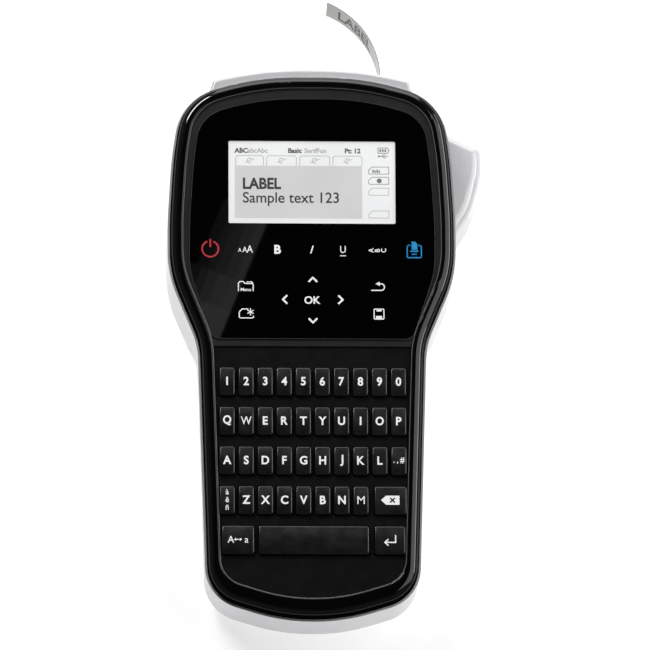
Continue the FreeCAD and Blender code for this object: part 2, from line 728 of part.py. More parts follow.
def motor_pinion():
    """Pinion on the motor's shaft."""
    place = pinion_place()
    half_step = math.pi / PINION_TEETH
    shaft = rod(place, PINION_Z[0], 33.0, PINION_SHAFT_RADIUS)
    return gear(place, PINION_TEETH, *PINION_Z, half_step).fuse(shaft)


def drive_motor():
    """Feed motor on a bracket that stands on the bay floor."""
    x, y = pinion_place()
    can = rod((x, y), *MOTOR_Z, MOTOR_RADIUS)
    plate_low = (x - 12.0, y - 5.0, MOTOR_Z[0] - BRACKET_THICKNESS)
    plate = rounded_box(plate_low, (x + 9.0, y + 5.0, MOTOR_Z[0]), 1.0)
    leg_low = (x - 12.0, y - 5.0, BAY_TOP_Z + BAY_FLOOR + SEAT_GAP)
    leg = box(leg_low, (x - 10.8, y + 5.0, MOTOR_Z[0] - BRACKET_THICKNESS / 2))
    shaft_hole = rod((x, y), 28.0, 34.0, PINION_SHAFT_RADIUS + RUNNING_GAP)
    return can.fuse([plate, leg]).cut(shaft_hole)


def print_head():
    """Thermal print head on its aluminium support, facing the roller."""
    block = box((20.0, 43.0, 4.5), (25.9, 57.0, BAY_TOP_Z - SEAT_GAP))
    block = block.cut(box((19.0, 45.0, 5.5), (23.6, 55.0, BAY_TOP_Z - 2.0)))
    contact_x = TAPE_X - TAPE_THICKNESS / 2 - 0.05
    strip = box((25.9, 48.0, TAPE_LOW - 0.5), (contact_x, 52.0, TAPE_LOW + TAPE_WIDTH + 0.5))
    return block.fuse(strip)


# ---------------------------------------------------------------- cutter

def cutter_lever():
    """Side lever with its trunnions and the finger that pushes the blade carrier."""
    pad = slab(rounded_wire(LEVER_OUTSIDE), LEVER_LOW_Z, LEVER_HIGH_Z)
    for height, rounding in ((LEVER_LOW_Z, LEVER_BACK_ROUND), (LEVER_HIGH_Z, LEVER_TOP_ROUND)):
        rim = [e for e in edges_at_height(pad, height) if e.BoundBox.XMax > LEVER_ROUND_FROM_X]
        pad = pad.makeFillet(rounding, rim)
    pad = pad.cut(slab(rounded_wire(LEVER_HOLLOW), LEVER_LOW_Z + LEVER_WALL, LEVER_HIGH_Z - LEVER_WALL))
    finger_top = LEVER_LOW_Z + FINGER_HEIGHT
    finger = box((41.6, 67.6, LEVER_LOW_Z), (44.0, 72.2, finger_top))
    arm = box((43.6, 63.4, LEVER_LOW_Z), (46.0, 68.4, finger_top))
    trunnions = rod(LEVER_PIVOT, LEVER_LOW_Z - 3.2, LEVER_HIGH_Z + 3.0, SHAFT_RADIUS)
    return pad.fuse([finger, arm, trunnions])


def cutter_blade():
    """Blade on its sliding carrier."""
    carrier = box((35.0, CARRIER_Y[0], 4.5), (41.1, CARRIER_Y[1], LEVER_LOW_Z + FINGER_HEIGHT - 0.5))
    y = BLADE_Y - BLADE_THICKNESS / 2
    low = TAPE_LOW - 1.0
    high = TAPE_LOW + TAPE_WIDTH + 1.0
    corners = [
        Vector(BLADE_REST_X, y, low),
        Vector(BLADE_BACK_X, y, low),
        Vector(BLADE_BACK_X, y, high),
        Vector(BLADE_REST_X + BLADE_SLANT, y, high),
    ]
    blade = Part.Face(Part.makePolygon(corners + corners[:1])).extrude(Vector(0, BLADE_THICKNESS, 0))
    return carrier.fuse(blade)


# ---------------------------------------------------------------- write

def parts():
    """Every node's name and shape, in the resting frame."""
    shapes = {
        "rear_housing": rear_housing(),
        "front_bezel": front_bezel(),
        "keypad_frame": keypad_frame(),
        "display_panel": display_panel(),
        "lcd_module": lcd_module(),
        "main_board": main_board(),
        "keypad_mat": keypad_mat(),
        "battery_door": battery_door(),
        "battery_pack": battery_pack(),
        "cassette_door": cassette_door(),
        "tape_cassette": tape_cassette(),
        "label_tape": label_tape(),
        "platen_roller": platen_roller(),
        "motor_pinion": motor_pinion(),
        "drive_motor": drive_motor(),
        "print_head": print_head(),
        "cutter_lever": cutter_lever(),
        "cutter_blade": cutter_blade(),
    }
    for name, x, row, width in keys():
        shapes[name] = one_key(x, row, width)
    return shapes


def main():
    """Write every node as a STEP file and say whether it is whole."""
    os.makedirs("parts", exist_ok=True)
    for name, shape in parts().items():
        solids = shape.removeSplitter().Solids
        whole = solids[0] if len(solids) == 1 else Part.makeCompound(solids)
        print(name, len(solids), whole.isValid(), round(whole.Volume, 1))
        whole.exportStep(f"parts/{name}.step")


main()
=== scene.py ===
"""Looks, light and camera for the handheld label maker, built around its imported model."""

import math

import bmesh
import bpy
from mathutils import Matrix, Vector


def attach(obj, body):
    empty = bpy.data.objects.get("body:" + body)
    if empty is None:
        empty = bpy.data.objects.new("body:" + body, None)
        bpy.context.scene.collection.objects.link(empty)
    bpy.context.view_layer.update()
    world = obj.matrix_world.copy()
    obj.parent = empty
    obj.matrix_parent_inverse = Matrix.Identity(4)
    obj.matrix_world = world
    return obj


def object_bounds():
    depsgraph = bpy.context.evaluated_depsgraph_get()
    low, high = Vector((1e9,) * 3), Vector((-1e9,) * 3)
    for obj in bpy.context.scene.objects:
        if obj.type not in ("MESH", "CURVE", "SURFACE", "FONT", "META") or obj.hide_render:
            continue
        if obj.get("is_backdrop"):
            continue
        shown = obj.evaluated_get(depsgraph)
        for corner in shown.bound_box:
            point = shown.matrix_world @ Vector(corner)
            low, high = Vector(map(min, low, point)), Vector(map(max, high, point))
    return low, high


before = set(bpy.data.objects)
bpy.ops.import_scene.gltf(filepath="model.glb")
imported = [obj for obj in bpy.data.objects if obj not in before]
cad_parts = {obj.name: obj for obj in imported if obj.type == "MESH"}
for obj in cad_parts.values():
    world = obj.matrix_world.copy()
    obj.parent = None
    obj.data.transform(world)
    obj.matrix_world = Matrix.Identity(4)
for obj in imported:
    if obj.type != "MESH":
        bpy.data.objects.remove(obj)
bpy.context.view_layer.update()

MM = 0.001

# The face frame: Z out of the keyboard face, Y = 0 at the foot end. The device rests on its back, tilted.
TILT = math.radians(6.5)
ORIGIN_Y = 118.0 * MM
REST_DEPTH_AT_FOOT = 32.0 * MM
FACE = Matrix.Rotation(TILT, 4, "X") @ Matrix.Translation(
    (0, -ORIGIN_Y, REST_DEPTH_AT_FOOT + ORIGIN_Y * math.tan(TILT))
)
FACE_INVERSE = FACE.inverted()

# Heights in the face frame
PANEL_TOP = 0.5 * MM
LCD_TOP = 0.0

# Where the keypad deck ends and the band round the panel begins, in the face frame
DECK_SPLIT_Y = 103.5 * MM

# Display window, in the face frame
WINDOW_CENTRE = (0.0, 165.7 * MM)
WINDOW_SIZE = (61.4 * MM, 31.5 * MM)

# Camera, as seen from the face: to the left, towards the foot, turned about its own axis, and how far
CAMERA_LEFT = math.radians(2.0)
CAMERA_FOOT = math.radians(15.0)
CAMERA_ROLL = math.radians(0.25)
CAMERA_DISTANCE = 3.0
CAMERA_TARGET = (4.6 * MM, 111.5 * MM, 0.0)
PICTURE_WIDTH = 0.238
SENSOR_WIDTH = 36.0

# Sky: its strength, and at three places its height, from 0 at the horizon to 1 straight above, and its grey
SKY_STRENGTH = 0.4
SKY_AT_HORIZON = (0.0, 0.06)
SKY_BRIGHTEST = (0.35, 0.35)
SKY_OVERHEAD = (0.95, 0.02)

# Floor: the light it gives off, its half side, and how far it lies under the part
FLOOR_GLOW = 0.55
FLOOR_SIZE = 6.0
FLOOR_GAP = 0.0002

# What most softboxes aim at, in the resting frame
BODY_MIDDLE = (0, 0.05, 0.03)

# Diagonal sheen on the panel, in the face frame: two points of its right edge, and bands from the foot up. A
# band has its start and end along the edge, and the width and brightness of its strips from the edge to the
# left, in millimetres. The cards that make the sheen hang at a height above the face, in metres.
SHEEN_TOP = (-15.5 * MM, 152.5 * MM)
SHEEN_FOOT = (-34.5 * MM, 105.0 * MM)
SHEEN_BANDS = [
    (0.0, 12.0, [(10.0, 0.90), (4.0, 0.65), (6.0, 0.50)]),
    (12.0, 24.0, [(4.0, 0.80), (5.0, 0.68), (4.0, 0.50), (3.0, 0.32), (4.0, 0.15)]),
    (24.0, 51.0, [(3.0, 0.70), (4.0, 0.52), (4.0, 0.36), (3.0, 0.25), (4.0, 0.14)]),
]
CARD_HEIGHT = 0.5

# Moulded surfaces: noise in cycles per metre, and how far the roughness strays
MOTTLE_SCALE = 60.0
WEAR_SCALE = 220.0
WEAR_SPREAD = 0.15
FLAKE_SCALE = 7000.0
FLAKE_ROUGHNESS = (0.27, 0.42)
COAT_ROUGHNESS = 0.05

# Outlines of the bezel and the panel in the face frame, right half, from head to foot: x, y and corner radius
# in millimetres. The light grey bead, a painted highlight along the bezel's inner edge, runs inside its
# outline.
BEZEL_HALF = [
    (20.2, 206.6, 100.0),
    (47.2, 198.1, 20.0),
    (50.8, 176.8, 150.0),
    (52.2, 152.5, 150.0),
    (52.2, 131.9, 45.0),
    (41.2, 105.2, 30.0),
    (38.2, 12.4, 15.0),
    (11.0, 3.9, 70.0),
]
PANEL_HALF = [
    (18.9, 197.6, 90.0),
    (41.2, 190.7, 13.0),
    (43.6, 173.3, 150.0),
    (45.0, 151.0, 150.0),
    (45.1, 132.0, 38.0),
    (36.7, 106.1, 3.7),
]
BEZEL_HIGHLIGHT_INSET = 4.7

# Share of the rim's normal along the face normal, with no reflection at all below the first (painted shade
# that keeps the steep outer slope black) and full gloss above the second, and the specular level of that
# gloss
RIM_SHADE_BELOW = 0.5
RIM_GLOSS_ABOVE = 0.8
RIM_SPECULAR = 0.6

# Where the sockets of the main board are, in the resting frame
SOCKETS_FROM_Y = 65.5 * MM
SOCKETS_BELOW_Z = 45.5 * MM

# Screws in the back, in the face frame: places in millimetres, and the plates that show them
SCREW_PLACES = [(-31.0, 12.0), (31.0, 12.0), (-43.5, 137.0), (43.5, 128.0)]
SCREW_RADIUS = 2.2 * MM
PATCH_THICKNESS = 0.1 * MM

# The tape, where it curls, and the word on it, in the resting frame
TAPE_X = 27.0 * MM
TAPE_LOW = 6.5 * MM
TAPE_WIDTH = 12.0 * MM
TAPE_THICKNESS = 0.3 * MM
CURL_START_Y = 98.5 * MM
CURL_RADIUS = 33.0 * MM
CURL_TURN = math.radians(66.0)
TAPE_WORD_START = 5.0 * MM
TAPE_WORD_SIZE = 9.6 * MM


# ---------------------------------------------------------------- material helpers

def new_material(name):
    """A material with its node tree, and its Principled shader."""
    material = bpy.data.materials.new(name)
    material.use_nodes = True
    shader = material.node_tree.nodes["Principled BSDF"]
    return material, material.node_tree, shader


def colour(value):
    """RGBA from a grey or an RGB triple."""
    if isinstance(value, (int, float)):
        value = (value, value, value)
    return (*value, 1.0)


def object_place(tree):
    """Place of the shaded point, in object coordinates."""
    return tree.nodes.new("ShaderNodeTexCoord").outputs["Object"]


def object_noise(tree, scale, detail):
    """Noise in object coordinates, in cycles per metre."""
    noise = tree.nodes.new("ShaderNodeTexNoise")
    noise.inputs["Scale"].default_value = scale
    noise.inputs["Detail"].default_value = detail
    tree.links.new(object_place(tree), noise.inputs["Vector"])
    return noise.outputs["Fac"]


def ramp(tree, source, low, high):
    """Colour ramp between two greys or colours, over the middle of a noise's range."""
    node = tree.nodes.new("ShaderNodeValToRGB")
    first, last = node.color_ramp.elements
    first.position = 0.3
    last.position = 0.7
    first.color = colour(low)
    last.color = colour(high)
    tree.links.new(source, node.inputs["Fac"])
    return node.outputs["Color"]


def rise(tree, source, start, end, top=1.0):
    """Value that rises from nought to a top while its source goes from a start to an end."""
    node = tree.nodes.new("ShaderNodeMapRange")
    node.inputs["From Min"].default_value = start
    node.inputs["From Max"].default_value = end
    node.inputs["To Max"].default_value = top
    tree.links.new(source, node.inputs["Value"])
    return node.outputs["Result"]


def share_along(tree, source, axis):
    """Dot product of a vector output with a fixed axis."""
    node = tree.nodes.new("ShaderNodeVectorMath")
    node.operation = "DOT_PRODUCT"
    node.inputs[1].default_value = axis
    tree.links.new(source, node.inputs[0])
    return node.outputs["Value"]


def calculation(tree, operation, first, second):
    """Comparison or product of an output with a number or another output."""
    node = tree.nodes.new("ShaderNodeMath")
    node.operation = operation
    tree.links.new(first, node.inputs[0])
    if isinstance(second, float):
        node.inputs[1].default_value = second
    else:
        tree.links.new(second, node.inputs[1])
    return node.outputs["Value"]


def second_colour(tree, shader, factor):
    """Let the base colour give way to another as the factor grows. The other is B of the mix returned."""
    mix = tree.nodes.new("ShaderNodeMix")
    mix.data_type = "RGBA"
    tree.links.new(factor, mix.inputs["Factor"])
    tree.links.new(shader.inputs["Base Color"].links[0].from_socket, mix.inputs["A"])
    tree.links.new(mix.outputs["Result"], shader.inputs["Base Color"])
    return mix


def add_bump(tree, shader, height, distance):
    """Bump from a height output."""
    bump = tree.nodes.new("ShaderNodeBump")
    bump.inputs["Distance"].default_value = distance
    bump.inputs["Strength"].default_value = 1.0
    tree.links.new(height, bump.inputs["Height"])
    tree.links.new(bump.outputs["Normal"], shader.inputs["Normal"])


def plastic(name, base, rough, spread, grain, depth, metallic=0.0, coat=0.0, specular=0.5):
    """Moulded surface: colour, roughness, share that the colour strays, grain per metre and its depth."""
    material, tree, shader = new_material(name)
    shader.inputs["Metallic"].default_value = metallic
    shader.inputs["Coat Weight"].default_value = coat
    shader.inputs["Coat Roughness"].default_value = COAT_ROUGHNESS
    shader.inputs["Specular IOR Level"].default_value = specular
    darker = [c * (1 - spread) for c in base]
    lighter = [c * (1 + spread) for c in base]
    shade = ramp(tree, object_noise(tree, MOTTLE_SCALE, 5.0), darker, lighter)
    tree.links.new(shade, shader.inputs["Base Color"])
    wear = object_noise(tree, WEAR_SCALE, 3.0)
    gloss = ramp(tree, wear, rough * (1 - WEAR_SPREAD), rough * (1 + WEAR_SPREAD))
    tree.links.new(gloss, shader.inputs["Roughness"])
    add_bump(tree, shader, object_noise(tree, grain, 2.0), depth)
    return material


# ---------------------------------------------------------------- materials

def silver_paint():
    """Satin silver paint, whose fine metal flake sets the roughness."""
    silver = (0.74, 0.745, 0.76)
    material = plastic("silver_paint", silver, 0.34, 0.03, 9000.0, 0.00001, metallic=0.2, coat=0.2)
    tree = material.node_tree
    flake = tree.nodes.new("ShaderNodeTexVoronoi")
    flake.inputs["Scale"].default_value = FLAKE_SCALE
    tree.links.new(object_place(tree), flake.inputs["Vector"])
    sparkle = tree.nodes.new("ShaderNodeMapRange")
    sparkle.inputs["To Min"].default_value = FLAKE_ROUGHNESS[0]
    sparkle.inputs["To Max"].default_value = FLAKE_ROUGHNESS[1]
    tree.links.new(flake.outputs["Color"], sparkle.inputs["Value"])
    tree.links.new(sparkle.outputs["Result"], tree.nodes["Principled BSDF"].inputs["Roughness"])
    return material


def gloss_black():
    """Polished black face whose reflection is taken away on the steep outer slope of the rim: painted shade
    that keeps that slope black.
    """
    material = plastic("gloss_black", (0.002, 0.002, 0.0022), 0.07, 0.2, 300.0, 0.000004)
    tree = material.node_tree
    normal = tree.nodes.new("ShaderNodeNewGeometry").outputs["Normal"]
    # Where the rim turns steep its reflection is taken away: painted shade, so the outer slope stays black.
    upward = share_along(tree, normal, (0, -math.sin(TILT), math.cos(TILT)))
    level = rise(tree, upward, RIM_SHADE_BELOW, RIM_GLOSS_ABOVE, RIM_SPECULAR)
    tree.links.new(level, tree.nodes["Principled BSDF"].inputs["Specular IOR Level"])
    return material


def panel_film():
    """High-gloss film over the display and icons."""
    return plastic("panel_film", (0.0008, 0.0008, 0.0009), 0.02, 0.2, 120.0, 0.0000006, specular=0.3)


def deck_black():
    """Fine matte texture: black on the keypad deck, dark grey on the band round the panel."""
    material = plastic("deck_black", (0.0025, 0.0025, 0.0028), 0.45, 0.15, 5200.0, 0.00003, specular=0.15)
    tree = material.node_tree
    blend = 0.2 * MM
    split = DECK_SPLIT_Y - ORIGIN_Y
    toward_head = share_along(tree, object_place(tree), (0, math.cos(TILT), math.sin(TILT)))
    beyond = rise(tree, toward_head, split - blend, split + blend)
    mix = second_colour(tree, tree.nodes["Principled BSDF"], beyond)
    band = ramp(tree, object_noise(tree, 90.0, 4.0), 0.020, 0.026)
    tree.links.new(band, mix.inputs["B"])
    return material


def key_black():
    """Satin black key caps."""
    return plastic("key_black", (0.0025, 0.0025, 0.0028), 0.3, 0.15, 3600.0, 0.00001, specular=0.9)


def lit(material, grey, strength):
    """Let a material give off a little of its own light."""
    shader = material.node_tree.nodes["Principled BSDF"]
    shader.inputs["Emission Color"].default_value = colour(grey)
    shader.inputs["Emission Strength"].default_value = strength
    return material


def glowing_legend_white():
    """Printed white ink, which also gives off a little light of its own: print with a painted glow."""
    # The glow is painted light: printed ink gives off none of its own.
    return lit(plastic("glowing_legend_white", (0.85, 0.86, 0.86), 0.5, 0.03, 6000.0, 0.000002), 0.9, 0.3)


def ink(name, base):
    """Printed coloured ink."""
    return plastic(name, base, 0.45, 0.04, 6000.0, 0.000002)


def display_glow():
    """Bright display: white, a little uneven, with its own light."""
    material, tree, shader = new_material("display_glow")
    shade = ramp(tree, object_noise(tree, 25.0, 2.0), (0.47, 0.475, 0.48), (0.51, 0.515, 0.52))
    tree.links.new(shade, shader.inputs["Base Color"])
    tree.links.new(shade, shader.inputs["Emission Color"])
    shader.inputs["Emission Strength"].default_value = 1.0
    shader.inputs["Roughness"].default_value = 0.5
    return material


def display_ink(name, grey):
    """Dark or grey dots of the display, which give off a little light of their own, as the display does."""
    return lit(plastic(name, (grey, grey, grey), 0.6, 0.05, 6000.0, 0.000001), grey, 0.35)


def window_clear():
    """Clear part of the panel film, over the display."""
    material, tree, shader = new_material("window_clear")
    shader.inputs["Base Color"].default_value = (1, 1, 1, 1)
    shader.inputs["Roughness"].default_value = 0.02
    shader.inputs["Alpha"].default_value = 0.02
    shader.inputs["Coat Weight"].default_value = 1.0
    add_bump(tree, shader, object_noise(tree, 700.0, 6.0), 0.000002)
    material.blend_method = "BLEND"
    return material


def tape_plastic():
    """Laminated white tape, slightly translucent, coloured grey: painted shade, as the curl lies in shade."""
    # The grey base colour is painted shade; the tape itself is white.
    material = plastic("tape_plastic", (0.36, 0.345, 0.325), 0.32, 0.03, 900.0, 0.000008)
    shader = material.node_tree.nodes["Principled BSDF"]
    shader.inputs["Subsurface Weight"].default_value = 0.15
    shader.inputs["Subsurface Radius"].default_value = (0.001, 0.001, 0.001)
    return material


def rubber():
    """Ground black rubber."""
    return plastic("rubber", (0.02, 0.02, 0.02), 0.75, 0.2, 2500.0, 0.00004)


def bare_metal(name, base, rough):
    """Machined metal with fine scratches."""
    return plastic(name, base, rough, 0.05, 2500.0, 0.00001, metallic=1.0)


def board_green():
    """Green circuit board whose sockets, in the head end, are black."""
    material = plastic("board_green", (0.02, 0.12, 0.05), 0.35, 0.2, 1500.0, 0.00003)
    tree = material.node_tree
    split = tree.nodes.new("ShaderNodeSeparateXYZ")
    tree.links.new(object_place(tree), split.inputs["Vector"])
    beyond = calculation(tree, "GREATER_THAN", split.outputs["Y"], SOCKETS_FROM_Y)
    below = calculation(tree, "LESS_THAN", split.outputs["Z"], SOCKETS_BELOW_Z)
    in_socket = calculation(tree, "MULTIPLY", beyond, below)
    mix = second_colour(tree, tree.nodes["Principled BSDF"], in_socket)
    mix.inputs["B"].default_value = colour(0.012)
    return material


def inner_finishes():
    """Finishes of the inner parts, by node."""
    return {
        "main_board": board_green(),
        "keypad_mat": plastic("mat_silicone", (0.45, 0.46, 0.47), 0.6, 0.05, 2500.0, 0.00003),
        "battery_pack": plastic("battery_wrap", (0.03, 0.05, 0.09), 0.35, 0.1, 400.0, 0.00002),
        "tape_cassette": plastic("cassette_grey", (0.5, 0.5, 0.48), 0.45, 0.04, 4200.0, 0.00003),
        "platen_roller": rubber(),
        "motor_pinion": bare_metal("pinion_brass", (0.75, 0.55, 0.25), 0.3),
        "drive_motor": bare_metal("motor_steel", (0.55, 0.55, 0.56), 0.32),
        "print_head": bare_metal("head_aluminium", (0.75, 0.76, 0.77), 0.38),
        "cutter_blade": bare_metal("blade_steel", (0.62, 0.63, 0.65), 0.2),
    }


# Shared by all the keys, and by the key legends and the panel's white icons
KEY_CAPS = key_black()
# The white legend ink glows a little: painted light on top of the white print.
GLOWING_LEGEND_INK = glowing_legend_white()


# ---------------------------------------------------------------- mesh helpers

# How far a stroke's quads go on past its corners, in half widths
CORNER_OVERLAP = 0.6
LETTER_DEPTH = 0.02 * MM


def finish_piece(obj, body, material):
    """Give a piece its material, body and slot."""
    obj.data.materials.clear()
    obj.data.materials.append(material)
    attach(obj, body)
    return obj


def linked_object(name, data):
    """Object in the scene, around a mesh, curve, lamp or camera."""
    obj = bpy.data.objects.new(name, data)
    bpy.context.scene.collection.objects.link(obj)
    return obj


def mesh_object(name, bm):
    """Object from a bmesh, which is freed."""
    mesh = bpy.data.meshes.new(name)
    bmesh.ops.recalc_face_normals(bm, faces=bm.faces)
    bm.to_mesh(mesh)
    bm.free()
    return linked_object(name, mesh)


def mesh_from_curve(name, curve):
    """Mesh of a curve or of lettering, whose own data is removed."""
    source = linked_object(name + "_curve", curve)
    bpy.context.view_layer.update()
    depsgraph = bpy.context.evaluated_depsgraph_get()
    mesh = bpy.data.meshes.new_from_object(source.evaluated_get(depsgraph))
    bpy.data.objects.remove(source)
    bpy.data.curves.remove(curve)
    mesh.name = name
    return mesh


def flat_shape(name, loops, z, thickness):
    """Thin raised print in the face frame from closed loops of (x, y) points, one per stroke."""
    bm = bmesh.new()
    for loop in loops:
        lower = [bm.verts.new((x, y, z)) for x, y in loop]
        upper = [bm.verts.new((x, y, z + thickness)) for x, y in loop]
        bm.faces.new(lower)
        bm.faces.new(upper)
        for i in range(len(loop)):
            j = (i + 1) % len(loop)
            bm.faces.new((lower[i], lower[j], upper[j], upper[i]))
    obj = mesh_object(name, bm)
    obj.data.transform(FACE)
    return obj


def stroke(points, width, closed=False):
    """Quads that follow a line of (x, y) points with an even width and overlap at its corners."""
    loops = []
    count = len(points)
    last = count if closed else count - 1
    for i in range(last):
        start = Vector(points[i])
        end = Vector(points[(i + 1) % count])
        along = (end - start).normalized() * width / 2
        side = Vector((-along.y, along.x))
        start -= along * CORNER_OVERLAP
        end += along * CORNER_OVERLAP
        loops.append([tuple(p) for p in (start - side, end - side, end + side, start + side)])
    return loops


def arc(centre, radius, start, end, steps):
    """Points of an arc, in degrees."""
    found = []
    for i in range(steps + 1):
        angle = math.radians(start + (end - start) * i / steps)
        found.append((centre[0] + radius * math.cos(angle), centre[1] + radius * math.sin(angle)))
    return found


def circle(centre, radius, count):
    """Closed loop of evenly spaced points round a centre."""
    return arc(centre, radius, 0, 360 - 360 / count, count - 1)


def ring(centre, radius, width, start=0.0, end=360.0, steps=40):
    """Band along an arc, as quads."""
    inner = arc(centre, radius - width / 2, start, end, steps)
    outer = arc(centre, radius + width / 2, start, end, steps)
    return [[inner[i], inner[i + 1], outer[i + 1], outer[i]] for i in range(steps)]


def rectangle(x0, y0, x1, y1):
    """One rectangular loop."""
    return [(x0, y0), (x1, y0), (x1, y1), (x0, y1)]


def rounded_loop(width, height, radius):
    """Points round a rectangle with rounded corners, centred on zero."""
    found = []
    for sx, sy, start in ((1, 1, 0), (-1, 1, 90), (-1, -1, 180), (1, -1, 270)):
        centre = (sx * (width / 2 - radius), sy * (height / 2 - radius))
        found += arc(centre, radius, start, start + 90, 6)
    return found


def text_mesh(name, words, size, weight, squeeze=1.0, align="CENTER", turn=0.0):
    """Flat lettering as a thin mesh around its own origin, in metres."""
    curve = bpy.data.curves.new(name, "FONT")
    curve.body = words
    curve.size = size
    curve.offset = weight
    curve.extrude = LETTER_DEPTH
    curve.align_x = align
    curve.align_y = "CENTER"
    curve.resolution_u = 6
    mesh = mesh_from_curve(name, curve)
    xs = [v.co.x for v in mesh.vertices]
    ys = [v.co.y for v in mesh.vertices]
    middle_y = (min(ys) + max(ys)) / 2
    origin_x = (min(xs) + max(xs)) / 2 if align == "CENTER" else min(xs)
    mesh.transform(Matrix.Translation((-origin_x, -middle_y, 0)))
    mesh.transform(Matrix.Rotation(turn, 4, "Z") @ Matrix.Diagonal((squeeze, 1, 1, 1)))
    return linked_object(name, mesh)


def place_on_face(obj, x, y, z):
    """Put a piece that was made around its own origin onto the face."""
    obj.data.transform(FACE @ Matrix.Translation((x, y, z)))
    return obj


def face_span(node):
    """Lowest and highest corner of a CAD node in the face frame."""
    points = [FACE_INVERSE @ v.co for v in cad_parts[node].data.vertices]
    low = [min(p[i] for p in points) for i in range(3)]
    high = [max(p[i] for p in points) for i in range(3)]
    return low, high


# ---------------------------------------------------------------- CAD nodes

def dress_cad_nodes():
    """Give every CAD node its finish."""
    finishes = inner_finishes()
    silver = silver_paint()
    for node in ("rear_housing", "cassette_door", "battery_door", "cutter_lever"):
        finishes[node] = silver
    finishes["front_bezel"] = gloss_black()
    finishes["keypad_frame"] = deck_black()
    finishes["display_panel"] = panel_film()
    finishes["lcd_module"] = display_glow()
    finishes["label_tape"] = tape_plastic()
    for node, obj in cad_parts.items():
        obj.data.materials.clear()
        obj.data.materials.append(KEY_CAPS if node.startswith("key_") else finishes[node])


# ---------------------------------------------------------------- key legends

LEGEND_SIZE = 4.3 * MM
LEGEND_WEIGHT = 0.12 * MM
LEGEND_SQUEEZE = 0.94
LEGEND_DEPTH = 0.04 * MM
CROSS_DEPTH = 0.06 * MM

# Letters whose shape needs its own share of the width, or its own weight, to fit the key
SQUEEZE = {"w": 0.86, "m": 0.98, "q": 0.88, "o": 0.88}
WEIGHT = {"w": LEGEND_WEIGHT / 4, "m": 0.0}


def legend(node, obj, material):
    """Put a legend on its key's top."""
    low, high = face_span(node)
    place_on_face(obj, (low[0] + high[0]) / 2, (low[1] + high[1]) / 2, high[2])
    return finish_piece(obj, node, material)


def drawn_legend(node, name, loops, depth, material):
    """Legend from loops around the middle of its key, sunk a little into the key's top."""
    shape = flat_shape(name, loops, -LEGEND_DEPTH / 2, depth)
    shape.data.transform(FACE_INVERSE)
    return legend(node, shape, material)


def letter_legends():
    """One letter or digit on each plain key."""
    for letter in "1234567890qwertyuiopasdfghjklzxcvbnm":
        weight = WEIGHT.get(letter, LEGEND_WEIGHT)
        squeeze = SQUEEZE.get(letter, LEGEND_SQUEEZE)
        shape = text_mesh(f"legend_{letter}", letter.upper(), LEGEND_SIZE, weight, squeeze)
        legend(f"key_{letter}", shape, GLOWING_LEGEND_INK)


def special_legends():
    """Legends with more than one character, and the drawn ones."""
    symbols = text_mesh("legend_symbols", ". , #", 3.2 * MM, 0.06 * MM, 0.8)
    legend("key_symbols", symbols, GLOWING_LEGEND_INK)
    cases = text_mesh("legend_shift", "A    a", 3.6 * MM, 0.03 * MM, 0.95)
    legend("key_shift", cases, GLOWING_LEGEND_INK)
    accents = text_mesh("legend_accent", "à\nê\nñ", 2.9 * MM, 0.03 * MM)
    legend("key_accent", accents, GLOWING_LEGEND_INK)
    drawn_legend("key_return", "legend_return_drawn", return_loops(), LEGEND_DEPTH, GLOWING_LEGEND_INK)
    drawn_legend("key_backspace", "legend_backspace_drawn", backspace_loops(), LEGEND_DEPTH, GLOWING_LEGEND_INK)
    drawn_legend("key_shift", "legend_shift_drawn", double_arrow_loops(), LEGEND_DEPTH, GLOWING_LEGEND_INK)
    drawn_legend("key_backspace", "legend_backspace_cross", cross_loops(), CROSS_DEPTH, KEY_CAPS)


def return_loops():
    """Return arrow: down, then left."""
    line = 0.45 * MM
    shaft = stroke([(2.0 * MM, 1.7 * MM), (2.0 * MM, -0.9 * MM), (-1.8 * MM, -0.9 * MM)], line)
    head = stroke([(-0.7 * MM, 0.2 * MM), (-1.9 * MM, -0.9 * MM), (-0.7 * MM, -2.0 * MM)], line)
    return shaft + head


def double_arrow_loops():
    """Arrow with a head at both ends."""
    shaft = stroke([(-0.9 * MM, 0), (0.9 * MM, 0)], 0.3 * MM)
    for side in (-1, 1):
        back = side * 0.7 * MM
        shaft.append([(side * 1.5 * MM, 0), (back, 0.6 * MM), (back, -0.6 * MM)])
    return shaft


def backspace_loops():
    """Solid tag that points left."""
    half = 1.7 * MM
    return [[(-3.6 * MM, 0.0), (-1.7 * MM, -half), (3.2 * MM, -half), (3.2 * MM, half), (-1.7 * MM, half)]]


def cross_loops():
    """Dark cross on the backspace tag."""
    left, right, half, line = -0.1 * MM, 1.4 * MM, 0.75 * MM, 0.55 * MM
    return stroke([(left, -half), (right, half)], line) + stroke([(left, half), (right, -half)], line)


# ---------------------------------------------------------------- function icons

ICON_Z = PANEL_TOP - 0.01 * MM
ICON_THICKNESS = 0.03 * MM

# Width of the icons' lines, and where each drawn icon stands in the face frame, in millimetres
BOLD_LINE = 0.42
FINE_LINE = 0.38
ICON_PLACES = {
    "power": (-37.4, 140.5),
    "print": (37.5, 139.9),
    "underline_bar": (11.3, 137.7),
    "menu": (-24.4, 126.0),
    "new_label": (-24.2, 115.6),
    "back": (24.3, 125.9),
    "save": (24.4, 115.6),
    "up": (0.2, 128.6),
    "left": (-10.1, 121.0),
    "down": (0.2, 113.0),
    "right": (10.4, 121.0),
}


def icon(name, loops, material):
    """One printed icon on the panel, from loops around its own centre in millimetres."""
    x, y = ICON_PLACES[name]
    placed = [[(x * MM + px * MM, y * MM + py * MM) for px, py in loop] for loop in loops]
    shape = flat_shape(f"icon_{name}", placed, ICON_Z, ICON_THICKNESS)
    return finish_piece(shape, "housing", material)


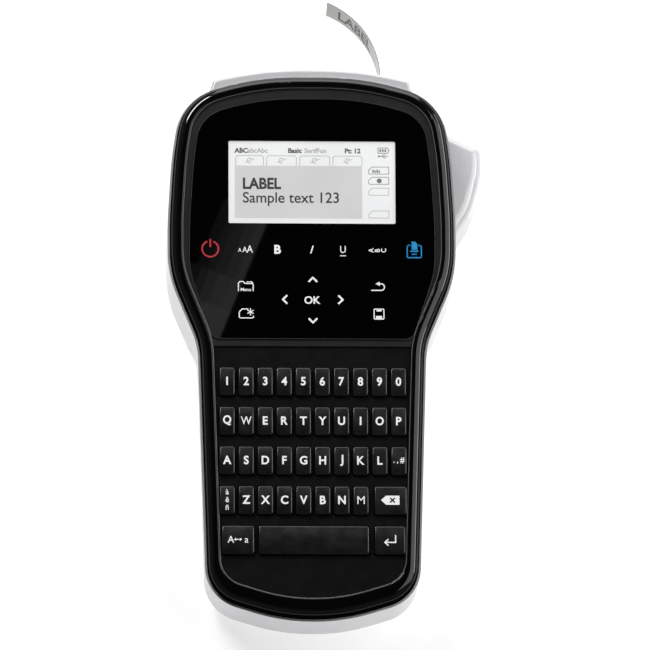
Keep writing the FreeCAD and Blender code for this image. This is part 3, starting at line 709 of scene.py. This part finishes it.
def icon_text(name, words, x, y, size, weight, squeeze=1.0, turn=0.0, lean=0.0):
    """Lettering printed on the panel, in millimetres."""
    letters = text_mesh(name, words, size * MM, weight * MM, squeeze, "CENTER", turn)
    letters.data.transform(Matrix(((1, lean, 0, 0), (0, 1, 0, 0), (0, 0, 1, 0), (0, 0, 0, 1))))
    place_on_face(letters, x * MM, y * MM, PANEL_TOP)
    return finish_piece(letters, "housing", GLOWING_LEGEND_INK)


def chevron(turn):
    """Loops of a chevron that points up, turned by an angle in degrees."""
    half_width, half_height, line = 1.45, 0.75, 0.66
    cos = math.cos(math.radians(turn))
    sin = math.sin(math.radians(turn))
    points = [(-half_width, -half_height), (0.0, half_height), (half_width, -half_height)]
    return stroke([(x * cos - y * sin, x * sin + y * cos) for x, y in points], line)


def power_icon():
    """Broken ring with a bar through the gap."""
    red = ink("ink_red", (0.62, 0.03, 0.05))
    line = 0.62
    bar = rectangle(-line / 2, 0.2, line / 2, 3.3)
    icon("power", ring((0, -0.4), 3.0, line, 112, 428) + [bar], red)


def print_icon():
    """Printer body with a tape that comes out of its top."""
    blue = ink("ink_blue", (0.01, 0.33, 0.75))
    left_half = [(-1.6, 1.9), (-2.3, 1.9), (-2.6, 1.5), (-2.6, -2.5), (-2.3, -2.8)]
    right_half = [(-x, y) for x, y in reversed(left_half)]
    body = stroke(left_half + right_half, BOLD_LINE)
    tape = [(-1.0, 0.2), (-1.0, 2.2), (-0.9, 2.9), (-1.3, 3.3), (0.4, 3.3), (1.1, 2.4), (1.2, 0.2)]
    sill = rectangle(-1.5, -0.6, 1.5, -0.1)
    slot = rectangle(-0.9, -1.7, 0.9, -1.3)
    icon("print", body + [tape, sill, slot], blue)


def folder_icon():
    """Folder with a tab and a word on it."""
    left_side = [(-2.7, -1.8), (-2.7, 1.2), (-2.2, 1.7), (-0.9, 1.7)]
    right_side = [(-0.3, 1.0), (2.3, 1.0), (2.7, 0.6), (2.7, -1.8)]
    rear_sheet = stroke([(0.3, 1.6), (2.2, 1.6), (2.6, 1.2)], 0.3)
    icon("menu", stroke(left_side + right_side, FINE_LINE) + rear_sheet, GLOWING_LEGEND_INK)
    icon_text("icon_menu_word", "Menu", -24.4, 124.7, 1.75, 0.03)


def new_label_icon():
    """Label outline with a star at its corner."""
    left_side = [(0.6, 1.7), (-1.6, 1.7), (-2.6, 0.5), (-2.6, -1.3)]
    foot = [(-2.2, -1.7), (2.3, -1.7), (2.6, -1.3), (2.6, -1.0)]
    star = []
    reach = 1.2
    for turn in (90, 150, 210):
        dx = reach * math.cos(math.radians(turn))
        dy = reach * math.sin(math.radians(turn))
        star += stroke([(1.5 - dx, 0.6 - dy), (1.5 + dx, 0.6 + dy)], 0.36)
    icon("new_label", stroke(left_side + foot, FINE_LINE) + star, GLOWING_LEGEND_INK)


def back_icon():
    """Arrow that turns back to the left."""
    lower = stroke([(-2.6, -1.3), (0.9, -1.3)], BOLD_LINE)
    bend = ring((0.9, -0.05), 1.25, BOLD_LINE, -90, 90, 16)
    upper = stroke([(0.9, 1.2), (-0.4, 1.2)], BOLD_LINE)
    head = [(-1.1, 1.2), (0.4, 0.4), (0.4, 2.0)]
    icon("back", lower + bend + upper + [head], GLOWING_LEGEND_INK)


def save_icon():
    """Disk outline with its label and shutter."""
    outline = stroke(rounded_loop(3.6, 3.8, 0.4), 0.36, closed=True)
    label = rectangle(-1.1, -1.7, 1.1, -0.7)
    shutter = rectangle(-0.9, 1.0, 0.9, 1.6)
    icon("save", outline + [label, shutter], GLOWING_LEGEND_INK)


def letter_icons():
    """Icons that are lettering: size, bold, italic, underline and upright text."""
    row = 140.0
    for step, size in enumerate((2.1, 3.0, 3.9)):
        middle_y = 139.3 + 0.203 * size
        icon_text(f"icon_size_{step}", "A", -26.6 + 1.85 * step, middle_y, size, 0.02, 0.85)
    icon_text("icon_bold", "B", -12.7, row, 4.5, 0.16)
    icon_text("icon_italic", "I", -0.1, row, 4.3, 0.02, lean=0.3)
    icon_text("icon_underline", "U", 11.3, row + 0.1, 3.8, 0.0, 0.9)
    icon("underline_bar", [rectangle(-1.1, -0.15, 1.1, 0.15)], GLOWING_LEGEND_INK)
    for step, letter in enumerate("ABC"):
        icon_text(f"icon_upright_{letter}", letter, 21.6 + 2.3 * step, 139.8, 2.6, 0.04, 0.9, math.pi / 2)


def panel_icons():
    """All the printed function icons."""
    power_icon()
    print_icon()
    folder_icon()
    new_label_icon()
    back_icon()
    save_icon()
    letter_icons()
    icon_text("icon_ok", "OK", 0.0, 120.8, 3.9, 0.08)
    for name, turn in (("up", 0), ("left", 90), ("down", 180), ("right", 270)):
        icon(name, chevron(turn), GLOWING_LEGEND_INK)


# ---------------------------------------------------------------- display content

DISPLAY_Z = LCD_TOP + 0.01 * MM
DOT_THICKNESS = 0.02 * MM
DISPLAY_LINE = 0.22


def display_shape(name, loops, material):
    """Filled shapes on the display, from loops in millimetres around its centre."""
    x, y = WINDOW_CENTRE
    placed = [[(x + px * MM, y + py * MM) for px, py in loop] for loop in loops]
    shape = flat_shape(name, placed, DISPLAY_Z, DOT_THICKNESS)
    return finish_piece(shape, "housing", material)


def display_text(name, words, left, y, size, weight, material, squeeze=1.0):
    """Words on the display, in millimetres around its centre."""
    letters = text_mesh(name, words, size * MM, weight * MM, squeeze, "LEFT")
    corner_x = WINDOW_CENTRE[0] + left * MM
    place_on_face(letters, corner_x, WINDOW_CENTRE[1] + y * MM, DISPLAY_Z + DOT_THICKNESS)
    return finish_piece(letters, "housing", material)


def display_tabs(dim):
    """Four tab outlines above the label area, each with a small sign."""
    loops = []
    bottom, shoulder, top = 6.5, 9.6, 10.2
    for left, right in ((-28.0, -17.8), (-16.6, -5.7), (-4.4, 6.6), (7.8, 18.5)):
        left_side = [(left, bottom), (left, shoulder), (left + 0.6, top)]
        right_side = [(right - 0.6, top), (right, shoulder), (right, bottom)]
        loops += stroke(left_side + right_side, DISPLAY_LINE)
        middle = (left + right) / 2
        loops += ring((middle, 8.3), 0.9, 0.25, 20, 300, 14)
        loops += stroke([(middle - 1.6, 7.6), (middle + 1.8, 9.0)], 0.2)
    display_shape("display_tabs", loops, dim)


def display_status(ink_used):
    """Battery and connection signs in the status line."""
    cell = [(24.4, 11.4), (27.9, 11.4), (28.4, 12.4), (27.9, 13.4), (24.4, 13.4)]
    battery = stroke(cell, 0.25, closed=True)
    for left in (24.9, 25.85, 26.8):
        battery.append(rectangle(left, 11.9, left + 0.6, 12.9))
    link = stroke([(24.6, 10.2), (28.0, 10.2)], DISPLAY_LINE)
    link += stroke([(25.6, 10.2), (26.4, 10.8), (27.2, 10.8)], 0.2)
    link += stroke([(25.9, 10.2), (26.6, 9.6), (27.3, 9.6)], 0.2)
    link += ring((24.7, 10.2), 0.2, 0.3, steps=10)
    display_shape("display_status", battery + link, ink_used)


def display_side_icons(dark, dim):
    """Four label-shaped signs down the right side."""
    signs = [("text", 4.8, dark), ("round", 0.9, dark), ("width", -3.3, dim), ("lock", -12.0, dim)]
    for name, y, ink_used in signs:
        right_side = [(21.2, y - 1.4), (28.3, y - 1.4), (28.3, y + 1.3), (22.2, y + 1.3)]
        left_side = [(20.9, y + 0.1), (20.9, y - 1.1)]
        loops = stroke(right_side + left_side, DISPLAY_LINE, closed=True)
        if name == "text":
            for i in range(4):
                left = 22.3 + 0.75 * i
                loops.append(rectangle(left, y - 1.0, left + 0.5, y + 0.3 - 0.3 * (i % 2)))
        if name == "round":
            loops.append(circle((24.8, y - 0.1), 0.95, 12))
        display_shape(f"display_side_{name}", loops, ink_used)


def display_content():
    """What the display shows: status line, tabs, label area and sample words."""
    dark = display_ink("display_dark", 0.015)
    middle = display_ink("display_middle", 0.13)
    dim = display_ink("display_dim", 0.36)
    pale = display_ink("display_pale", 0.58)
    display_shape("display_label_area", [rectangle(-28.4, -13.7, 18.5, 6.4)], pale)
    display_tabs(dim)
    status_y, status_size = 12.2, 2.5
    display_text("display_case", "ABC", -28.5, status_y, status_size, 0.08, dark)
    display_text("display_case_dim", "abcAbc", -23.6, status_y, status_size, 0.05, dim)
    display_text("display_font", "Basic", -8.7, status_y, status_size, 0.08, dark)
    display_text("display_font_dim", "SerifFun", -2.7, status_y, status_size, 0.05, dim)
    display_text("display_size", "Pt: 12", 12.2, status_y, status_size, 0.08, dark)
    display_text("display_line_1", "LABEL", -25.4, -0.4, 5.8, 0.2, dark, 0.9)
    display_text("display_line_2", "Sample text 123", -25.4, -6.4, 5.7, 0.06, dark, 0.96)
    display_status(middle)
    display_side_icons(middle, dim)


def display_window():
    """Clear window in the panel film, over the display."""
    bm = bmesh.new()
    edge_gap = 0.05 * MM
    loop = rounded_loop(WINDOW_SIZE[0] - 2 * edge_gap, WINDOW_SIZE[1] - 2 * edge_gap, 0.5 * MM)
    layers = []
    for z in (PANEL_TOP - 0.2 * MM, PANEL_TOP - 0.02 * MM):
        layers.append([bm.verts.new((WINDOW_CENTRE[0] + x, WINDOW_CENTRE[1] + y, z)) for x, y in loop])
        bm.faces.new(layers[-1])
    lower, upper = layers
    for i in range(len(loop)):
        bm.faces.new((lower[i - 1], lower[i], upper[i], upper[i - 1]))
    glass = mesh_object("display_window", bm)
    glass.data.transform(FACE)
    finish_piece(glass, "housing", window_clear())


# ---------------------------------------------------------------- edges and tape lettering

def mirrored(half):
    """A right half and its mirror image as one closed list of corners."""
    return half + [(-x, y, radius) for x, y, radius in reversed(half)]


def outline_points(corners, inset):
    """Points in millimetres along a rounded outline, set in by an even amount."""
    found = []
    count = len(corners)
    steps = 14
    for i, (x, y, radius) in enumerate(corners):
        here = Vector((x, y))
        before = (Vector(corners[i - 1][:2]) - here).normalized()
        after = (Vector(corners[(i + 1) % count][:2]) - here).normalized()
        half = before.angle(after) / 2
        centre = here + (before + after).normalized() * radius / math.sin(half)
        start = here + before * radius / math.tan(half) - centre
        end = here + after * radius / math.tan(half) - centre
        bulges_out = before.x * after.y - before.y * after.x > 0
        reach = (radius - inset if bulges_out else radius + inset) / radius
        turn = start.angle_signed(end)
        for step in range(steps + 1):
            spoke = start.copy()
            spoke.rotate(Matrix.Rotation(-turn * step / steps, 2))
            found.append(centre + spoke * reach)
    return found


def bead(name, corners, height, radius, material):
    """Thin bead that follows a list of (x, y) points in millimetres on the face."""
    curve = bpy.data.curves.new(name, "CURVE")
    curve.dimensions = "3D"
    curve.bevel_depth = radius
    curve.bevel_resolution = 3
    path = curve.splines.new("POLY")
    path.points.add(len(corners) - 1)
    for place, point in zip(path.points, corners):
        place.co = (point.x * MM, point.y * MM, height, 1)
    path.use_cyclic_u = True
    mesh = mesh_from_curve(name, curve)
    mesh.transform(FACE)
    return finish_piece(linked_object(name, mesh), "housing", material)


def edge_beads():
    """Light grey bead inside the bezel, a painted highlight along its inner edge, and a fainter, dark one
    round the panel.
    """
    # The first bead's light grey is a painted highlight, not a part of the device.
    bright = plastic("bezel_highlight_grey", (0.22, 0.22, 0.225), 0.25, 0.05, 3000.0, 0.000003)
    dark = plastic("bead_dark", (0.03, 0.03, 0.032), 0.3, 0.05, 3000.0, 0.000003)
    bezel_line = outline_points(mirrored(BEZEL_HALF), BEZEL_HIGHLIGHT_INSET)
    panel_line = outline_points(mirrored(PANEL_HALF), 0.0)
    bead("bezel_highlight_bead", bezel_line, 0.55 * MM, 0.2 * MM, bright)
    bead("panel_bead", panel_line, 0.5 * MM, 0.12 * MM, dark)


def tape_word():
    """Sample word printed on the hollow side of the curled tape."""
    dark = plastic("tape_print", (0.02, 0.02, 0.02), 0.4, 0.1, 3000.0, 0.000003)
    word = text_mesh("tape_word", "LABEL", TAPE_WORD_SIZE, 0.25 * MM, 0.72, "LEFT")
    bm = bmesh.new()
    bm.from_mesh(word.data)
    bmesh.ops.subdivide_edges(bm, edges=bm.edges, cuts=2, use_grid_fill=True)
    centre_x = TAPE_X - CURL_RADIUS
    middle_z = TAPE_LOW + TAPE_WIDTH / 2
    for vert in bm.verts:
        turn = CURL_TURN - (TAPE_WORD_START + vert.co.x) / CURL_RADIUS
        radius = CURL_RADIUS - TAPE_THICKNESS / 2 - vert.co.z
        x = centre_x + radius * math.cos(turn)
        y = CURL_START_Y + radius * math.sin(turn)
        vert.co = (x, y, middle_z + vert.co.y)
    bm.to_mesh(word.data)
    bm.free()
    finish_piece(word, "housing", dark)


# ---------------------------------------------------------------- screws in the back

def back_point(x, y, lift):
    """Point a little outside the rear housing's back, under a face-frame place."""
    outward = FACE.to_3x3() @ Vector((0, 0, -1))
    well_below = FACE @ Vector((x, y, -80 * MM))
    found, place, _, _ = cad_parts["rear_housing"].ray_cast(well_below, -outward)
    if not found:
        raise RuntimeError(f"no back surface at {x}, {y}")
    return place + outward * lift


def back_patch(name, loops, lift, material):
    """Thin closed plates that follow the back, each filled from the middle of its face-frame loop."""
    bm = bmesh.new()
    for loop in loops:
        middle_x = sum(x for x, _ in loop) / len(loop)
        middle_y = sum(y for _, y in loop) / len(loop)
        layers = []
        for height in (lift, lift - PATCH_THICKNESS):
            centre = bm.verts.new(back_point(middle_x, middle_y, height))
            edge = [bm.verts.new(back_point(x, y, height)) for x, y in loop]
            layers.append(edge)
            for i in range(len(loop)):
                bm.faces.new((centre, edge[i - 1], edge[i]))
        outer, inner = layers
        for i in range(len(loop)):
            bm.faces.new((outer[i - 1], outer[i], inner[i], inner[i - 1]))
    return finish_piece(mesh_object(name, bm), "housing", material)


def back_screws():
    """Cross-head screws, flush in their wells, over the housing's bosses."""
    steel = bare_metal("screw_steel", (0.5, 0.5, 0.51), 0.35)
    dark = plastic("screw_shadow", (0.01, 0.01, 0.01), 0.6, 0.1, 3000.0, 0.000003)
    arm = SCREW_RADIUS * 0.6
    half = SCREW_RADIUS * 0.1
    for number, (x, y) in enumerate(SCREW_PLACES):
        centre = (x * MM, y * MM)
        well = circle(centre, SCREW_RADIUS * 1.3, 24)
        head = circle(centre, SCREW_RADIUS, 24)
        cross = [rectangle(-arm, -half, arm, half), rectangle(-half, -arm, half, arm)]
        cross = [[(centre[0] + px, centre[1] + py) for px, py in loop] for loop in cross]
        back_patch(f"screw_well_{number}", [well], 0.01 * MM, dark)
        back_patch(f"screw_head_{number}", [head], 0.02 * MM, steel)
        back_patch(f"screw_cross_{number}", cross, 0.03 * MM, dark)


# ---------------------------------------------------------------- floor, light and camera

def floor():
    """Plain pale floor just under the part."""
    bm = bmesh.new()
    bmesh.ops.create_grid(bm, x_segments=1, y_segments=1, size=FLOOR_SIZE)
    plane = mesh_object("floor", bm)
    material, tree, shader = new_material("floor_white")
    shade = ramp(tree, object_noise(tree, 3.0, 2.0), 0.9, 0.93)
    tree.links.new(shade, shader.inputs["Base Color"])
    tree.links.new(shade, shader.inputs["Emission Color"])
    shader.inputs["Emission Strength"].default_value = FLOOR_GLOW
    shader.inputs["Roughness"].default_value = 0.9
    plane.data.materials.append(material)
    plane.location.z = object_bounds()[0][2] - FLOOR_GAP
    plane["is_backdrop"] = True


def area_light(name, size, watts):
    """Rectangular light, not yet placed."""
    data = bpy.data.lights.new(name, "AREA")
    data.shape = "RECTANGLE"
    data.size, data.size_y = size
    data.energy = watts
    return linked_object(name, data)


def softbox(name, place, target, size, watts):
    """Area light aimed at a point."""
    lamp = area_light(name, size, watts)
    lamp.location = place
    lamp.rotation_euler = (Vector(target) - Vector(place)).to_track_quat("-Z", "Y").to_euler()


def sky():
    """Studio surround: brightest a third of the way up, and dark overhead so that gloss stays black."""
    world = bpy.data.worlds.new("studio")
    world.use_nodes = True
    tree = world.node_tree
    direction = tree.nodes.new("ShaderNodeTexCoord").outputs["Generated"]
    split = tree.nodes.new("ShaderNodeSeparateXYZ")
    tree.links.new(direction, split.inputs["Vector"])
    shade = tree.nodes.new("ShaderNodeValToRGB")
    horizon, overhead = shade.color_ramp.elements
    horizon.position, grey = SKY_AT_HORIZON
    horizon.color = colour(grey)
    overhead.position, grey = SKY_OVERHEAD
    overhead.color = colour(grey)
    position, grey = SKY_BRIGHTEST
    shade.color_ramp.elements.new(position).color = colour(grey)
    tree.links.new(split.outputs["Z"], shade.inputs["Fac"])
    background = tree.nodes["Background"]
    tree.links.new(shade.outputs["Color"], background.inputs["Color"])
    background.inputs["Strength"].default_value = SKY_STRENGTH
    bpy.context.scene.world = world


def face_direction():
    """Direction from the face towards the camera, in the face frame."""
    toward = Vector((-math.sin(CAMERA_LEFT), -math.sin(CAMERA_FOOT), 0))
    toward.z = math.sqrt(1 - toward.length_squared)
    return toward


def panel_cards():
    """Faint cards overhead whose mirror image is the diagonal sheen on the panel."""
    mirrored_eye = Vector(CAMERA_TARGET) + face_direction() * CAMERA_DISTANCE
    mirrored_eye.z = -mirrored_eye.z
    foot = Vector((*SHEEN_FOOT, 0))
    along = (Vector((*SHEEN_TOP, 0)) - foot).normalized()
    across = Vector((-along.y, along.x, 0))
    axes = Matrix((across, along, across.cross(along))).transposed().to_4x4()
    facing_down = axes @ Matrix.Rotation(math.pi, 4, "Y")
    growth = 1 + CARD_HEIGHT / CAMERA_DISTANCE
    for start, end, strips in SHEEN_BANDS:
        reached = 0.0
        for width, radiance in strips:
            middle = foot + (along * (start + end) / 2 + across * (reached + width / 2)) * MM
            reached += width
            size = (width * MM * growth, (end - start) * MM * growth)
            lamp = area_light("panel_card", size, radiance * math.pi * size[0] * size[1])
            place = Matrix.Translation(middle + (middle - mirrored_eye) * (growth - 1))
            lamp.matrix_world = FACE @ place @ facing_down


def lights():
    """Sky, cards, and softboxes beyond the head and to the right, outside what the panel mirrors."""
    sky()
    panel_cards()
    softbox("key_light", (-0.6, 0.85, 1.05), BODY_MIDDLE, (0.6, 0.25), 10.0)
    softbox("back_wall", (0.15, 1.4, 0.6), BODY_MIDDLE, (1.1, 0.9), 7.5)
    softbox("right_strip", (0.9, 0.3, 0.45), BODY_MIDDLE, (0.9, 0.12), 2.0)
    softbox("overhead", (1.3, 0.1, 1.4), (0, 0, 0.03), (1.7, 1.7), 14.0)


def plain_colours():
    """Show colours without a film-like curve."""
    settings = bpy.context.scene.view_settings
    settings.view_transform = "Standard"
    settings.look = "None"


def camera():
    """Long lens, a little from the left and from the foot end."""
    toward = face_direction()
    place = Vector(CAMERA_TARGET) + toward * CAMERA_DISTANCE
    right = Vector((0, 1, 0)).cross(toward).normalized()
    up = toward.cross(right)
    turn = Matrix((right, up, toward)).transposed().to_4x4() @ Matrix.Rotation(-CAMERA_ROLL, 4, "Z")
    data = bpy.data.cameras.new("camera")
    data.sensor_width = SENSOR_WIDTH
    data.lens = SENSOR_WIDTH * CAMERA_DISTANCE / PICTURE_WIDTH
    data.clip_end = 20.0
    lens = linked_object("camera", data)
    lens.matrix_world = FACE @ Matrix.Translation(place) @ turn
    bpy.context.scene.camera = lens


# ---------------------------------------------------------------- the scene

dress_cad_nodes()
back_screws()
letter_legends()
special_legends()
panel_icons()
display_content()
display_window()
edge_beads()
tape_word()
floor()
lights()
plain_colours()
camera()
